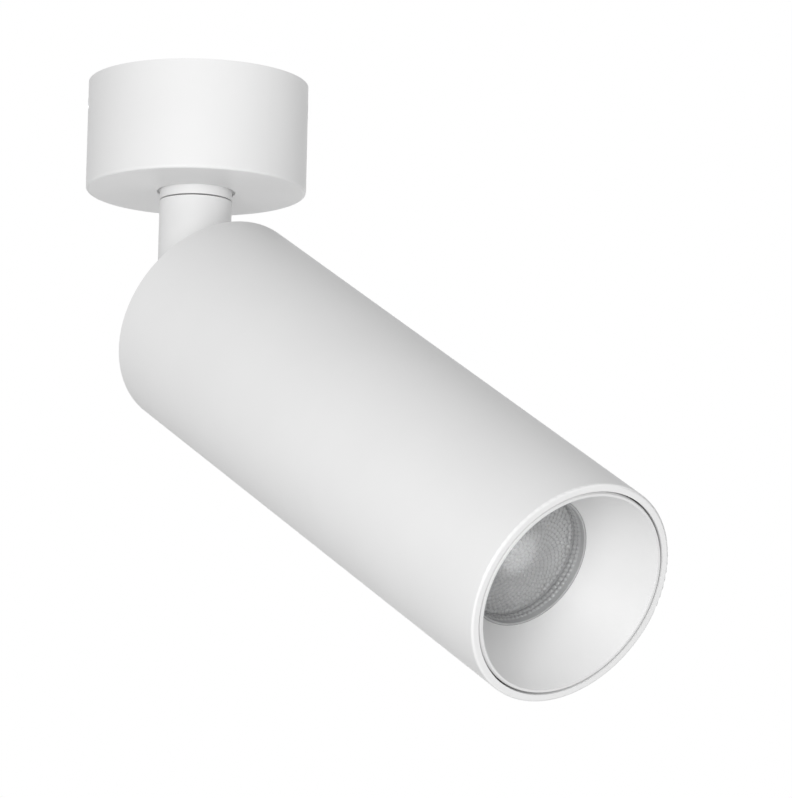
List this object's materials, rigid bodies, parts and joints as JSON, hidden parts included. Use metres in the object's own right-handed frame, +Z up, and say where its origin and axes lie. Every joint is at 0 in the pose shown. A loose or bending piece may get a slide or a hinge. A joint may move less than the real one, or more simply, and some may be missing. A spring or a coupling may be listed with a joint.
{
  "type": "surface mounted ceiling spotlight",
  "caption": "Surface mounted spotlight: a round canopy and a short swivel stem carry a tilting cylindrical lamp head with a deep white baffle and a faceted lens.",
  "frame": {"origin": "centre of the canopy's ceiling face", "axes": "+Z up into the ceiling, +X the way the lamp head points, +Y along the tilt pivot"},
  "size_m": [0.1944, 0.06, 0.18],
  "materials": {
    "housing_white": "matte powder coat",
    "baffle_white": "matte moulded",
    "lens_clear": "clear optical, faceted",
    "plated_steel": "zinc plated",
    "bare_aluminium": "plain",
    "terminal_plastic": "moulded",
    "terminal_brass": "plain",
    "washer_nylon": "moulded",
    "case_plastic": "moulded",
    "circuit_board": "solder mask",
    "component_grey": "moulded",
    "emitter_yellow": "phosphor",
    "seal_rubber": "matte"
  },
  "bodies": {
    "mount": {"mounting_plate": "plated_steel", "terminal_block": "terminal_plastic", "terminal_screws": "terminal_brass", "canopy": "housing_white", "canopy_screws": "plated_steel", "swivel_collar": "housing_white", "collar_screws": "plated_steel", "pan_stop_pin": "plated_steel"},
    "stem": {"friction_washer": "washer_nylon", "stop_washer": "plated_steel", "swivel_spring_washer": "plated_steel", "swivel_nut": "plated_steel", "swivel_nipple": "plated_steel", "stem": "housing_white", "pivot_washer": "washer_nylon", "pivot_tube": "plated_steel", "pivot_spring_washer": "plated_steel", "pivot_nut": "plated_steel", "stem_cap": "housing_white"},
    "head": {"barrel_tube": "housing_white", "rear_cap": "housing_white", "head_cap": "housing_white", "baffle_cone": "baffle_white", "lens": "lens_clear", "lens_ring": "lens_clear", "rear_cap_screws": "plated_steel", "tray_screws": "plated_steel", "led_holder_screws": "plated_steel", "driver_tray": "bare_aluminium", "heat_sink": "bare_aluminium", "led_board": "bare_aluminium", "driver_case": "case_plastic", "driver_lid": "case_plastic", "lens_holder": "case_plastic", "led_holder": "case_plastic", "driver_board": "circuit_board", "driver_parts": "component_grey", "led_emitter": "emitter_yellow", "baffle_seal": "seal_rubber"}
  },
  "joints": [
    {"name": "pan", "type": "hinge", "parent": "mount", "child": "stem", "pos_m": [0, 0, -0.0326], "axis": [0, 0, 1], "range_deg": [-165, 165]},
    {"name": "tilt", "type": "hinge", "parent": "stem", "child": "head", "pos_m": [0, 0, -0.06215], "axis": [0, -1, 0], "range_deg": [-58.1, 31.9]}
  ]
}
